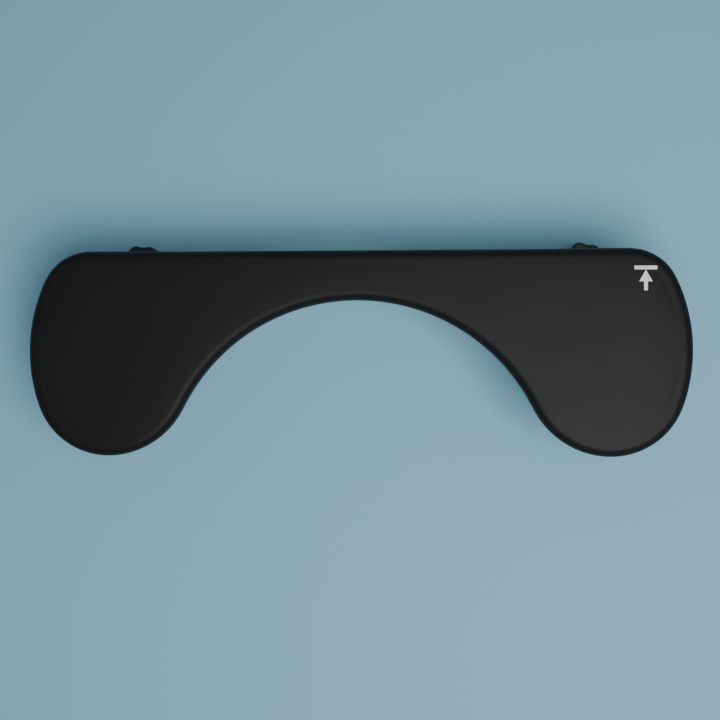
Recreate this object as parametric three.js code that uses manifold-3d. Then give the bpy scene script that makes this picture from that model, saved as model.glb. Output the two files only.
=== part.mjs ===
// A padded forearm board that clamps to the front edge of a desk.
//
// A kidney-shaped plywood board carries foam and an upholstered cover. Two bent steel brackets are
// screwed under its straight back edge. Each bracket reaches round the edge of the desk top, and a
// clamp screw with a lobed knob presses a swivelling foot up against the underside of the desk.
//
// Millimetres, +Z up, +X to the user's right, +Y away from the user and over the desk. The origin is
// on the middle plane, where the desk's front edge meets its top surface.

import * as THREE from "three";
import { mergeVertices } from "three/addons/utils/BufferGeometryUtils.js";
import Module from "manifold-3d";

const wasm = await Module();
wasm.setup();

// ---------------------------------------------------------------- driving dimensions

const degrees = Math.PI / 180;
const gap = 0.3; // running gap between neighbouring pieces

// Plan outline: tangent arcs from the middle of the belly recess to the straight back edge.
const recessFront = -0.3; // y of the deepest point of the belly recess
const outlineArcs = [
  { radius: 195.4, turn: -63.5 * degrees, steps: 14 }, // belly recess, hollow
  { radius: 84.5, turn: 63.5 * degrees, steps: 8 }, // inner round of the arm lobe
  { radius: 74.3, turn: 70.5 * degrees, steps: 8 }, // outer round of the arm lobe
  { radius: 166.2, turn: 44.9 * degrees, steps: 6 }, // outer side
  { radius: 50.2, turn: 64.6 * degrees, steps: 6 }, // back corner
];

// Heights of the layers above the desk top.
const jawPadThickness = 3;
const steelThickness = 3;
const liningThickness = 0.8;
const plywoodThickness = 9;
const coverThickness = 1.2;
const boardHeight = 21; // lining to the top of the cover
const boardBottom = jawPadThickness + steelThickness;
const coverBottom = boardBottom + liningThickness;
const coverTop = boardBottom + boardHeight;
const plywoodTop = coverBottom + plywoodThickness;
const turnInWidth = 18; // cover folded in under the board, measured from the outline
const topRoll = { width: 12, height: 11 }; // rounding of the upper edge
const bottomRoll = { width: 4, height: 4 }; // rounding of the lower edge
const rollSteps = 3;

// Brackets and clamp screws.
const clampX = 237; // middle plane to each clamp
const throatDepth = 43; // desk edge to the clamp screw's axis
const throatHeight = 48; // jaw pad face to the lower flange
const stripWidth = 36;
const bendRadius = 3; // inside of each bend
const upperFlangeLength = 40; // from the desk edge plane
const lowerFlangeNose = 13; // radius of the lower flange's round end
const deskThickness = 18; // the opening at rest, and so the desk that it fits as drawn
const flangeScrews = { x: 10.5, y: [9, 25], headRadius: 4.8, shankRadius: 2.35, length: 12.2 };
const threadRadius = 3.7; // mean radius of the M8 thread
const nut = { acrossFlats: 13, height: 6.5 };
const knob = { lobes: 6, lobeRadius: 8.9, lobeCircle: 13.5, bodyRadius: 19.5, height: 20, rounding: 3 };
const knobSides = 48; // points round the knob's outline
const knobBelowFoot = 46; // top of the rubber foot down to the top of the knob
const knobTurn = { left: 32.4 * degrees, right: 40.9 * degrees };

const ball = { radius: 3.8, neckRadius: 2.7, depth: 7.6 }; // depth below the top of the rubber foot
const ballSteps = 5;
const foot = { radius: 10, plate: 3, hubRadius: 7.2, hubHeight: 5.5 };
const footPad = { radius: 9.4, thickness: 2.5 };

const round = 24; // sides on a full circle
const smallRound = 16; // sides on a small one

// ---------------------------------------------------------------- materials

const finish = (color, roughness, metalness) =>
  new THREE.MeshStandardMaterial({ color, roughness, metalness });
const leatherette = finish(0x19191b, 0.55, 0);
const foamGrey = finish(0x6f7074, 0.95, 0);
const birchPly = finish(0xc9a673, 0.7, 0);
const liningBlack = finish(0x121214, 0.95, 0);
const powderCoat = finish(0x17181a, 0.5, 0.3);
const zincSteel = finish(0xb4b8bc, 0.35, 1);
const blackSteel = finish(0x26272a, 0.4, 0.9);
const brass = finish(0xb8954f, 0.35, 1);
const knobPlastic = finish(0x101012, 0.45, 0);
const rubber = finish(0x1c1c1d, 0.9, 0);

// ---------------------------------------------------------------- helpers

// A closed manifold-3d solid from a three.js geometry.
function solidFrom(geometry) {
  const bare = geometry.index ? geometry.toNonIndexed() : geometry.clone();
  bare.deleteAttribute("normal");
  bare.deleteAttribute("uv");
  const merged = mergeVertices(bare, 1e-4);
  return new wasm.Manifold(
    new wasm.Mesh({
      numProp: 3,
      vertProperties: new Float32Array(merged.attributes.position.array),
      triVerts: new Uint32Array(merged.index.array),
    }),
  );
}

// A three.js geometry from a manifold-3d solid.
function geometryFrom(solid) {
  const mesh = solid.getMesh();
  const geometry = new THREE.BufferGeometry();
  geometry.setAttribute("position", new THREE.BufferAttribute(mesh.vertProperties, 3));
  geometry.setIndex(new THREE.BufferAttribute(mesh.triVerts, 1));
  geometry.computeVertexNormals();
  return geometry;
}

// The body left when every tool is cut out of it.
function cut(body, tools) {
  let solid = solidFrom(body);
  for (const tool of tools) solid = solid.subtract(solidFrom(tool));
  return geometryFrom(solid);
}

function named(name, geometry, material) {
  const mesh = new THREE.Mesh(geometry, material);
  mesh.name = name;
  return mesh;
}

// A round bar or hole along Z, between two heights.
function bar(radius, zLow, zHigh, x = 0, y = 0, sides = round) {
  const geometry = new THREE.CylinderGeometry(radius, radius, zHigh - zLow, sides);
  return geometry.rotateX(Math.PI / 2).translate(x, y, (zLow + zHigh) / 2);
}

// A turned piece about Z from [radius, z] pairs listed from the lowest point upwards.
function turned(profile, sides = round) {
  const points = profile.map(([radius, z]) => new THREE.Vector2(radius, z));
  return new THREE.LatheGeometry(points, sides).rotateX(Math.PI / 2);
}

// The board's plan outline, anticlockwise, moved inwards by inset. Each arc of the chain keeps its
// centre, so the hollow arc grows and the others shrink.
function boardOutline(inset) {
  const half = [new THREE.Vector2(0, recessFront + inset)];
  let heading = 0;
  for (const { radius, turn, steps } of outlineArcs) {
    const moved = turn > 0 ? radius - inset : radius + inset;
    const bend = turn / steps;
    const chord = 2 * moved * Math.sin(Math.abs(bend) / 2);
    for (let i = 0; i < steps; i++) {
      const last = half.at(-1);
      const along = heading + bend / 2;
      const next = new THREE.Vector2(chord * Math.cos(along), chord * Math.sin(along));
      half.push(next.add(last));
      heading += bend;
    }
  }
  const mirrored = half.slice(1).reverse();
  return [...half, ...mirrored.map((p) => new THREE.Vector2(-p.x, p.y))];
}

// A solid stacked from copies of the outline, one for each [inset, z], closed by a cap at each end.
function stacked(levels) {
  const rings = levels.map(([inset]) => boardOutline(inset));
  const count = rings[0].length;
  const positions = levels.flatMap(([, z], k) => rings[k].flatMap((p) => [p.x, p.y, z]));
  const index = [];
  for (let k = 0; k + 1 < levels.length; k++) {
    for (let i = 0; i < count; i++) {
      const a = k * count + i;
      const b = k * count + ((i + 1) % count);
      index.push(a, b, b + count, a, b + count, a + count);
    }
  }
  const top = (levels.length - 1) * count;
  for (const [a, b, c] of THREE.ShapeUtils.triangulateShape(rings[0], [])) index.push(a, c, b);
  for (const [a, b, c] of THREE.ShapeUtils.triangulateShape(rings.at(-1), [])) {
    index.push(top + a, top + b, top + c);
  }
  const geometry = new THREE.BufferGeometry();
  geometry.setAttribute("position", new THREE.Float32BufferAttribute(positions, 3));
  geometry.setIndex(index);
  return geometry;
}

// Levels of a quarter round, from its outermost point to its flat end, inside a skin.
function quarterRound(roll, skin, zFlat, direction) {
  const width = roll.width - skin;
  const height = roll.height - skin;
  return Array.from({ length: rollSteps + 1 }, (_, i) => {
    const angle = (i / rollSteps) * (Math.PI / 2);
    const inset = skin + width * (1 - Math.cos(angle));
    return [inset, zFlat - direction * height * (1 - Math.sin(angle))];
  });
}

const topEdge = (skin) => quarterRound(topRoll, skin, coverTop - skin, 1);
const bottomEdge = (skin) => quarterRound(bottomRoll, skin, coverBottom + skin, -1).reverse();

// ---------------------------------------------------------------- the padded board

const innerSkin = coverThickness + gap;
const sides = { left: -1, right: 1 };
const screwSpots = Object.entries(sides).flatMap(([side, sign]) =>
  [-1, 1].flatMap((across) =>
    flangeScrews.y.map((y, row) => ({
      side,
      number: row * 2 + (across > 0 ? 2 : 1),
      x: sign * clampX + across * flangeScrews.x,
      y,
    })),
  ),
);
const insert = { radius: 3.6, bore: 2.65, low: coverBottom + 0.5, high: coverBottom + 8.5 };

// Plywood core, stepped round its underside to take the folded-in cover.
function baseBoard() {
  const step = turnInWidth + gap;
  const body = stacked([
    [step, coverBottom],
    [step, coverBottom + innerSkin],
    ...bottomEdge(innerSkin),
    [innerSkin, plywoodTop],
  ]);
  const bores = screwSpots.map(({ x, y }) =>
    bar(insert.radius + gap, coverBottom - 1, plywoodTop + 1, x, y, smallRound),
  );
  return named("base_board", cut(body, bores), birchPly);
}

function foamPad() {
  const body = stacked([[innerSkin, plywoodTop], ...topEdge(innerSkin)]);
  return named("foam_pad", body, foamGrey);
}

// The cover is one skin: down its inner wall, round the folded edge, then up the outer wall.
function coverSkin() {
  const inside = [...bottomEdge(coverThickness), ...topEdge(coverThickness)];
  const body = stacked([
    ...inside.reverse(),
    [turnInWidth, coverBottom + coverThickness],
    [turnInWidth, coverBottom],
    ...bottomEdge(0),
    ...topEdge(0),
  ]);
  return named("cover_skin", body, leatherette);
}

function undersideLining() {
  const edge = bottomRoll.width + 4;
  const body = stacked([
    [edge, boardBottom],
    [edge, coverBottom],
  ]);
  const holes = screwSpots.map(({ x, y }) => bar(3, boardBottom - 1, coverBottom + 1, x, y, smallRound));
  return named("underside_lining", cut(body, holes), liningBlack);
}

function threadedInserts() {
  return screwSpots.map(({ side, number, x, y }) => {
    const tube = turned([
      [insert.bore, insert.low],
      [insert.radius, insert.low],
      [insert.radius, insert.high],
      [insert.bore, insert.high],
      [insert.bore, insert.low],
    ], smallRound);
    return named(`${side}_insert_${number}`, tube.translate(x, y, 0), brass);
  });
}

// ---------------------------------------------------------------- one clamp, about its own x = 0

// Side view of the bent strip, drawn as (y, z): upper flange, web and lower flange.
function stripProfile() {
  const outer = bendRadius + steelThickness;
  const upperBend = jawPadThickness - bendRadius;
  const lowerBend = bendRadius - throatHeight;
  const lowerFlangeEnd = throatDepth + lowerFlangeNose;
  const shape = new THREE.Shape();
  shape.moveTo(upperFlangeLength, boardBottom);
  shape.absarc(bendRadius, upperBend, outer, 90 * degrees, 180 * degrees, false);
  shape.absarc(bendRadius, lowerBend, outer, 180 * degrees, 270 * degrees, false);
  shape.lineTo(lowerFlangeEnd, -throatHeight - steelThickness);
  shape.lineTo(lowerFlangeEnd, -throatHeight);
  shape.absarc(bendRadius, lowerBend, bendRadius, 270 * degrees, 180 * degrees, true);
  shape.absarc(bendRadius, upperBend, bendRadius, 180 * degrees, 90 * degrees, true);
  shape.lineTo(upperFlangeLength, jawPadThickness);
  return shape;
}

// Plan view of the flat lower flange, which narrows to a round nose about the clamp screw.
function lowerFlangePlan() {
  const half = stripWidth / 2;
  const shoulder = throatDepth - 22;
  const lean = 25 * degrees;
  const shape = new THREE.Shape();
  shape.moveTo(-half, -10);
  shape.lineTo(half, -10);
  shape.lineTo(half, shoulder);
  shape.absarc(0, throatDepth, lowerFlangeNose, lean, Math.PI - lean, false);
  shape.lineTo(-half, shoulder);
  return shape;
}

function bracket() {
  const strip = new THREE.ExtrudeGeometry(stripProfile(), {
    depth: stripWidth,
    bevelEnabled: false,
    curveSegments: 4,
  });
  const turnedToPlace = new THREE.Matrix4().makeBasis(
    new THREE.Vector3(0, 1, 0),
    new THREE.Vector3(0, 0, 1),
    new THREE.Vector3(1, 0, 0),
  );
  strip.applyMatrix4(turnedToPlace).translate(-stripWidth / 2, 0, 0);
  const plan = new THREE.ExtrudeGeometry(lowerFlangePlan(), {
    depth: 2 * throatHeight,
    bevelEnabled: false,
    curveSegments: 8,
  }).translate(0, 0, -1.5 * throatHeight);
  const body = geometryFrom(solidFrom(strip).intersect(solidFrom(plan)));
  const { x, y, headRadius, shankRadius } = flangeScrews;
  const headHole = turned([
    [0, jawPadThickness - 1],
    [headRadius + gap + 1, jawPadThickness - 1],
    [shankRadius + gap, jawPadThickness - 1 + headRadius - shankRadius + 1],
    [shankRadius + gap, boardBottom + 1],
    [0, boardBottom + 1],
  ], smallRound);
  const holes = [-x, x].flatMap((across) =>
    y.map((along) => headHole.clone().translate(across, along, 0)),
  );
  holes.push(bar(threadRadius + 1, -throatHeight - 5, -throatHeight + 1, 0, throatDepth));
  return cut(body, holes);
}

// Rubber on the upper jaw, with a hole under each screw head.
function jawPad() {
  const width = stripWidth - 3;
  const front = bendRadius + 0.8;
  const length = upperFlangeLength - front - 1;
  const block = new THREE.BoxGeometry(width, length, jawPadThickness);
  block.translate(0, front + length / 2, jawPadThickness / 2);
  const { x, y, headRadius } = flangeScrews;
  const holes = [-x, x].flatMap((across) =>
    y.map((along) => bar(headRadius + 1, -1, jawPadThickness + 1, across, along, smallRound)),
  );
  return cut(block, holes);
}

// Countersunk screw with a hexagon socket, its head flush with the upper jaw's face.
function flangeScrew() {
  const { headRadius, shankRadius, length } = flangeScrews;
  const tip = jawPadThickness + length;
  const body = turned([
    [0, jawPadThickness],
    [headRadius, jawPadThickness],
    [shankRadius, jawPadThickness + headRadius - shankRadius],
    [shankRadius, tip - 0.8],
    [shankRadius - 0.8, tip],
    [0, tip],
  ], smallRound);
  return cut(body, [bar(1.75, jawPadThickness - 1, jawPadThickness + 1.8, 0, 0, 6)]);
}

function weldNut() {
  const corner = nut.acrossFlats / Math.sqrt(3);
  const top = -throatHeight - steelThickness;
  const hexagon = bar(corner, top - nut.height, top, 0, throatDepth, 6);
  return cut(hexagon, [bar(threadRadius + gap, top - nut.height - 1, top + 1, 0, throatDepth)]);
}

const footTop = -deskThickness;
const knobTop = footTop - knobBelowFoot;
const ballMiddle = footTop - ball.depth;

// A ball's profile from one angle up to another, measured from straight down.
function ballArc(radius, from, to, steps) {
  return Array.from({ length: steps + 1 }, (_, i) => {
    const angle = from + ((to - from) * i) / steps;
    return [radius * Math.sin(angle), ballMiddle - radius * Math.cos(angle)];
  });
}

// Threaded stud with a ball at its upper end; its lower end is held in the knob.
function clampScrew() {
  const neck = Math.asin(ball.neckRadius / ball.radius);
  const shoulder = footTop - footPad.thickness - foot.plate - foot.hubHeight - 1.5;
  const stud = turned([
    [0, knobTop - knob.height + 5],
    [threadRadius, knobTop - knob.height + 5],
    [threadRadius, shoulder - 1],
    [ball.neckRadius, shoulder],
    ...ballArc(ball.radius, neck, Math.PI, ballSteps).slice(0, -1),
    [0, ballMiddle + ball.radius],
  ], smallRound);
  return stud.translate(0, throatDepth, 0);
}

// Distance from the knob's axis to its edge: round lobes standing out of a round body.
function knobEdge(angle) {
  const pitch = (2 * Math.PI) / knob.lobes;
  const fromLobe = angle - pitch * Math.round(angle / pitch);
  const across = knob.lobeCircle * Math.sin(fromLobe);
  const along = knob.lobeCircle * Math.cos(fromLobe);
  return Math.max(knob.bodyRadius, along + Math.sqrt(knob.lobeRadius ** 2 - across ** 2));
}

// Lobed hand knob, with a blind socket in its top for the stud. A lobe points towards +Y before
// the knob is turned clockwise, seen from above.
function lobedKnob(turn) {
  const outline = Array.from({ length: knobSides }, (_, i) => {
    const angle = (i / knobSides) * 2 * Math.PI;
    const radius = knobEdge(angle) - knob.rounding;
    return new THREE.Vector2(radius * Math.sin(angle), radius * Math.cos(angle));
  }).reverse();
  const grip = new THREE.ExtrudeGeometry(new THREE.Shape(outline), {
    depth: knob.height - 2 * knob.rounding,
    bevelThickness: knob.rounding,
    bevelSize: knob.rounding,
    bevelSegments: 2,
    curveSegments: 1,
  });
  grip.translate(0, 0, knobTop - knob.height + knob.rounding);
  const socket = bar(threadRadius + gap, knobTop - knob.height + 5 - gap, knobTop + 1);
  return cut(grip, [socket]).rotateZ(-turn).translate(0, throatDepth, 0);
}

// Pressed foot whose hub closes round the ball.
function pressureFoot() {
  const top = footTop - footPad.thickness;
  const hubBottom = top - foot.plate - foot.hubHeight;
  const cavity = ball.radius + gap;
  const mouth = ball.neckRadius + gap;
  const lip = Math.asin(mouth / cavity);
  const body = turned([
    [mouth, hubBottom],
    [foot.hubRadius, hubBottom],
    [foot.hubRadius, top - foot.plate],
    [foot.radius, top - foot.plate],
    [foot.radius, top],
    [0, top],
  ].concat(ballArc(cavity, lip, Math.PI, ballSteps).reverse(), [[mouth, hubBottom]]));
  return body.translate(0, throatDepth, 0);
}

function rubberFoot() {
  return bar(footPad.radius, footTop - footPad.thickness, footTop, 0, throatDepth);
}

function clamp(side) {
  const group = new THREE.Group();
  group.position.x = sides[side] * clampX;
  group.add(
    named(`${side}_bracket`, bracket(), powderCoat),
    named(`${side}_jaw_pad`, jawPad(), rubber),
    named(`${side}_weld_nut`, weldNut(), powderCoat),
    named(`${side}_clamp_screw`, clampScrew(), zincSteel),
    named(`${side}_knob`, lobedKnob(knobTurn[side]), knobPlastic),
    named(`${side}_pressure_foot`, pressureFoot(), zincSteel),
    named(`${side}_foot_pad`, rubberFoot(), rubber),
  );
  return group;
}

function flangeScrewSet() {
  return screwSpots.map(({ side, number, x, y }) =>
    named(`${side}_flange_screw_${number}`, flangeScrew().translate(x, y, 0), blackSteel),
  );
}

// ---------------------------------------------------------------- the whole object

const forearmBoard = new THREE.Group();
forearmBoard.add(
  baseBoard(),
  foamPad(),
  coverSkin(),
  undersideLining(),
  ...threadedInserts(),
  ...flangeScrewSet(),
  clamp("left"),
  clamp("right"),
);

export default forearmBoard;
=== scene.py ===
# %% [markdown]
# A padded board that clamps to the front edge of a desk and carries the forearms while typing. It is
# a kidney-shaped sheet of plywood with foam on it, wrapped in smooth black leatherette. Two steel
# brackets are screwed under its straight edge, and a clamp screw with a lobed knob in each bracket
# presses a swivelling foot against the underside of the desk.
#
# The design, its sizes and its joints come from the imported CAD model. This lesson gives it its
# looks: the pieces with soft or fine shapes are modelled again in their own places, and every
# surface gets a finish. Each step says first what the real thing is and why it is made this way.

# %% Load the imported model
import math

import bmesh
import bpy
from mathutils import Matrix, Vector


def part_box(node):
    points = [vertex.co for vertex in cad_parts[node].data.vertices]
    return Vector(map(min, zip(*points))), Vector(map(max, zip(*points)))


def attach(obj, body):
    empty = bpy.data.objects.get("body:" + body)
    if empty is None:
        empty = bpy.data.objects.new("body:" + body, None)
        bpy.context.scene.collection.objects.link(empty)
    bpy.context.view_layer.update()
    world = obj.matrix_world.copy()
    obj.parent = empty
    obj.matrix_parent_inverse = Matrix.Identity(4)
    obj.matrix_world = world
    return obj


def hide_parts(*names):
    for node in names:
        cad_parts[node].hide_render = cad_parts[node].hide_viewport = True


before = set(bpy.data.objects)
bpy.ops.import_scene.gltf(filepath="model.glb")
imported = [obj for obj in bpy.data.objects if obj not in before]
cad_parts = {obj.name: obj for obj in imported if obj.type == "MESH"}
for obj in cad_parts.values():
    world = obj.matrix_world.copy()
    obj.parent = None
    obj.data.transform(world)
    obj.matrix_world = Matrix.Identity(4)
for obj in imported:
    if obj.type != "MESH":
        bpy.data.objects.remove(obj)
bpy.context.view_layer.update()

scene = bpy.context.scene
MM = 0.001

# %% [markdown]
# Blender's operators work on whatever is selected, so each step starts from a clean selection. Small
# helpers do what a maker does by hand: click a piece, enter edit mode, pick parts of the mesh by
# where they are, apply a modifier, and join pieces.

# %% Selecting and applying


def click(piece):
    """Leaves edit mode, deselects everything, then selects one piece and makes it active."""
    if bpy.context.object and bpy.context.object.mode != "OBJECT":
        bpy.ops.object.mode_set(mode="OBJECT")
    bpy.ops.object.select_all(action="DESELECT")
    piece.select_set(True)
    bpy.context.view_layer.objects.active = piece


def new_piece(name):
    """Names the primitive that was just added and puts its place into its mesh."""
    piece = bpy.context.object
    piece.name = name
    piece.data.name = name
    click(piece)
    bpy.ops.object.transform_apply(location=True, rotation=True, scale=True)
    return piece


def edit(piece):
    """Opens a piece in edit mode with nothing selected."""
    click(piece)
    bpy.ops.object.mode_set(mode="EDIT")
    bpy.ops.mesh.select_mode(type="VERT")
    bpy.ops.mesh.select_all(action="DESELECT")


def edit_all(piece):
    """Opens a piece in edit mode with everything selected."""
    edit(piece)
    bpy.ops.mesh.select_all(action="SELECT")


def middle(part):
    """The place of a vertex, or the middle of an edge or face."""
    if isinstance(part, bmesh.types.BMVert):
        return part.co
    return sum((v.co for v in part.verts), Vector()) / len(part.verts)


def pick(piece, kind, test):
    """In edit mode, selects the vertices, edges or faces that pass the test."""
    bpy.ops.mesh.select_mode(type=kind)
    bpy.ops.mesh.select_all(action="DESELECT")
    mesh = bmesh.from_edit_mesh(piece.data)
    parts = {"VERT": mesh.verts, "EDGE": mesh.edges, "FACE": mesh.faces}[kind]
    chosen = [part for part in parts if test(part)]
    for part in chosen:
        part.select_set(True)
    mesh.select_flush_mode()
    bmesh.update_edit_mesh(piece.data)


def apply_modifier(piece, kind, **settings):
    """Gives the piece a modifier, sets it up and applies it."""
    click(piece)
    bpy.ops.object.modifier_add(type=kind)
    modifier = piece.modifiers[0]
    for setting, value in settings.items():
        setattr(modifier, setting, value)
    bpy.ops.object.modifier_apply(modifier=modifier.name)


def smooth(piece, degrees=35):
    """Smooth shading up to an angle, in which large flat faces stay flat."""
    click(piece)
    bpy.ops.object.shade_smooth_by_angle(angle=math.radians(degrees))
    apply_modifier(piece, "WEIGHTED_NORMAL", keep_sharp=True)


def join(pieces, name):
    """Joins pieces into one, with the first piece's mesh as its start."""
    click(pieces[0])
    for piece in pieces:
        piece.select_set(True)
    bpy.ops.object.join()
    return new_piece(name)


def extrude(x=0.0, y=0.0, z=0.0):
    """Extrudes the selected faces or edges by a step."""
    bpy.ops.mesh.extrude_region_move(TRANSFORM_OT_translate={"value": (x, y, z)})


def mounted(piece, body, slot, material, *nodes):
    """A finished piece: its body, its finish and the nodes it stands for; the slot argument is not
    used.
    """
    click(piece)
    bpy.ops.object.transform_apply(location=True, rotation=True, scale=True)
    piece.data.materials.clear()
    piece.data.materials.append(material)
    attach(piece, body)
    if nodes:
        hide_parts(*nodes)
    faces = sum(len(face.vertices) - 2 for face in piece.data.polygons)
    print(f"{piece.name}: {faces} triangles on {body}")
    return piece


# %% [markdown]
# Every surface gets its own finish, made of nodes. Patterns are laid by the piece's own coordinates
# in metres, so a grain of 900 cells to the metre is a little over a millimetre wide on every piece.
# Two helpers open an empty page and spread its nodes out, one row for each effect.

# %% Finishes: the cover


def empty_page(name):
    """A new material with no nodes yet, its nodes and its links."""
    finish = bpy.data.materials.new(name)
    finish.use_nodes = True
    finish.node_tree.nodes.clear()
    return finish, finish.node_tree.nodes, finish.node_tree.links


def lay_out(rows):
    """Puts each effect's nodes in its frame, in a row, left to right."""
    for row, (group, members) in enumerate(rows.items()):
        for column, node in enumerate(members):
            node.parent = group
            node.location = (230 * column, -340 * row)


def leatherette(name):
    """Smooth coated fabric: a fine grain, faint cloudiness and a soft shine."""
    finish, nodes, links = empty_page(name)

    place = nodes.new("ShaderNodeTexCoord")
    place.label = "Where on the hide"
    clouds = nodes.new("ShaderNodeTexNoise")
    clouds.label = "Slow change over the hide"
    tint = nodes.new("ShaderNodeMix")
    tint.label = "Black, a little uneven"
    shine = nodes.new("ShaderNodeMapRange")
    shine.label = "Duller where handled"
    cells = nodes.new("ShaderNodeTexVoronoi")
    cells.label = "Embossed grain"
    pores = nodes.new("ShaderNodeTexNoise")
    pores.label = "Fine pores"
    grain_bump = nodes.new("ShaderNodeBump")
    grain_bump.label = "Grain stands up"
    pore_bump = nodes.new("ShaderNodeBump")
    pore_bump.label = "Pores go in"
    hide = nodes.new("ShaderNodeBsdfPrincipled")
    hide.label = "Leatherette"
    output = nodes.new("ShaderNodeOutputMaterial")
    output.label = "Surface"
    colour_frame = nodes.new("NodeFrame")
    colour_frame.label = "Colour and shine"
    grain_frame = nodes.new("NodeFrame")
    grain_frame.label = "Grain"
    surface_frame = nodes.new("NodeFrame")
    surface_frame.label = "Surface"
    lay_out(
        {
            colour_frame: (place, clouds, tint, shine),
            grain_frame: (cells, pores, grain_bump, pore_bump),
            surface_frame: (hide, output),
        }
    )

    clouds.inputs["Scale"].default_value = 14
    clouds.inputs["Detail"].default_value = 4
    tint.data_type = "RGBA"
    tint.inputs["A"].default_value = (0.0046, 0.0046, 0.0051, 1)
    tint.inputs["B"].default_value = (0.0062, 0.0062, 0.0067, 1)
    shine.inputs["To Min"].default_value = 0.48
    shine.inputs["To Max"].default_value = 0.55
    cells.feature = "SMOOTH_F1"
    cells.inputs["Scale"].default_value = 900
    pores.inputs["Scale"].default_value = 2200
    pores.inputs["Detail"].default_value = 2
    grain_bump.inputs["Strength"].default_value = 0.30
    grain_bump.inputs["Distance"].default_value = 0.00010
    pore_bump.inputs["Strength"].default_value = 0.25
    pore_bump.inputs["Distance"].default_value = 0.00004
    hide.inputs["IOR"].default_value = 1.4
    hide.inputs["Specular IOR Level"].default_value = 0.26
    hide.inputs["Sheen Weight"].default_value = 0.02
    hide.inputs["Sheen Roughness"].default_value = 0.5

    links.new(place.outputs["Object"], clouds.inputs["Vector"])
    links.new(place.outputs["Object"], cells.inputs["Vector"])
    links.new(place.outputs["Object"], pores.inputs["Vector"])
    links.new(clouds.outputs["Fac"], tint.inputs["Factor"])
    links.new(clouds.outputs["Fac"], shine.inputs["Value"])
    links.new(cells.outputs["Distance"], grain_bump.inputs["Height"])
    links.new(pores.outputs["Fac"], pore_bump.inputs["Height"])
    links.new(grain_bump.outputs["Normal"], pore_bump.inputs["Normal"])
    links.new(tint.outputs["Result"], hide.inputs["Base Color"])
    links.new(shine.outputs["Result"], hide.inputs["Roughness"])
    links.new(pore_bump.outputs["Normal"], hide.inputs["Normal"])
    links.new(hide.outputs["BSDF"], output.inputs["Surface"])
    return finish


# %% [markdown]
# The dust sheet is pressed from loose fibres, bonded at a close pattern of points. The foam is a cut
# face through round cells. The plywood shows thin plies on its edge and long grain on its face.

# %% Finishes: inside and under the board


def bonded_fibres(name):
    """Non-woven cloth: rows of pressed points between matted fibres."""
    finish, nodes, links = empty_page(name)

    place = nodes.new("ShaderNodeTexCoord")
    place.label = "Where on the cloth"
    fibres = nodes.new("ShaderNodeTexNoise")
    fibres.label = "Matted fibres"
    tint = nodes.new("ShaderNodeMix")
    tint.label = "Thin and thick places"
    points = nodes.new("ShaderNodeTexVoronoi")
    points.label = "Bonding points"
    pressed = nodes.new("ShaderNodeMapRange")
    pressed.label = "Flat in the points"
    point_bump = nodes.new("ShaderNodeBump")
    point_bump.label = "Points pressed in"
    fibre_bump = nodes.new("ShaderNodeBump")
    fibre_bump.label = "Fibres stand up"
    cloth = nodes.new("ShaderNodeBsdfPrincipled")
    cloth.label = "Non-woven cloth"
    output = nodes.new("ShaderNodeOutputMaterial")
    output.label = "Surface"
    fibre_frame = nodes.new("NodeFrame")
    fibre_frame.label = "Fibres"
    point_frame = nodes.new("NodeFrame")
    point_frame.label = "Bonding"
    surface_frame = nodes.new("NodeFrame")
    surface_frame.label = "Surface"
    lay_out(
        {
            fibre_frame: (place, fibres, tint, fibre_bump),
            point_frame: (points, pressed, point_bump),
            surface_frame: (cloth, output),
        }
    )

    fibres.inputs["Scale"].default_value = 700
    fibres.inputs["Detail"].default_value = 5
    fibres.inputs["Distortion"].default_value = 2.5
    tint.data_type = "RGBA"
    tint.inputs["A"].default_value = (0.008, 0.008, 0.009, 1)
    tint.inputs["B"].default_value = (0.035, 0.035, 0.038, 1)
    points.inputs["Scale"].default_value = 420
    points.inputs["Randomness"].default_value = 0.12
    pressed.inputs["From Min"].default_value = 0.15
    pressed.inputs["From Max"].default_value = 0.35
    point_bump.inputs["Strength"].default_value = 0.5
    point_bump.inputs["Distance"].default_value = 0.00015
    fibre_bump.inputs["Strength"].default_value = 0.4
    fibre_bump.inputs["Distance"].default_value = 0.0001
    cloth.inputs["Roughness"].default_value = 0.85
    cloth.inputs["Sheen Weight"].default_value = 0.25

    links.new(place.outputs["Object"], fibres.inputs["Vector"])
    links.new(place.outputs["Object"], points.inputs["Vector"])
    links.new(fibres.outputs["Fac"], tint.inputs["Factor"])
    links.new(points.outputs["Distance"], pressed.inputs["Value"])
    links.new(pressed.outputs["Result"], point_bump.inputs["Height"])
    links.new(fibres.outputs["Fac"], fibre_bump.inputs["Height"])
    links.new(point_bump.outputs["Normal"], fibre_bump.inputs["Normal"])
    links.new(tint.outputs["Result"], cloth.inputs["Base Color"])
    links.new(fibre_bump.outputs["Normal"], cloth.inputs["Normal"])
    links.new(cloth.outputs["BSDF"], output.inputs["Surface"])
    return finish


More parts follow.
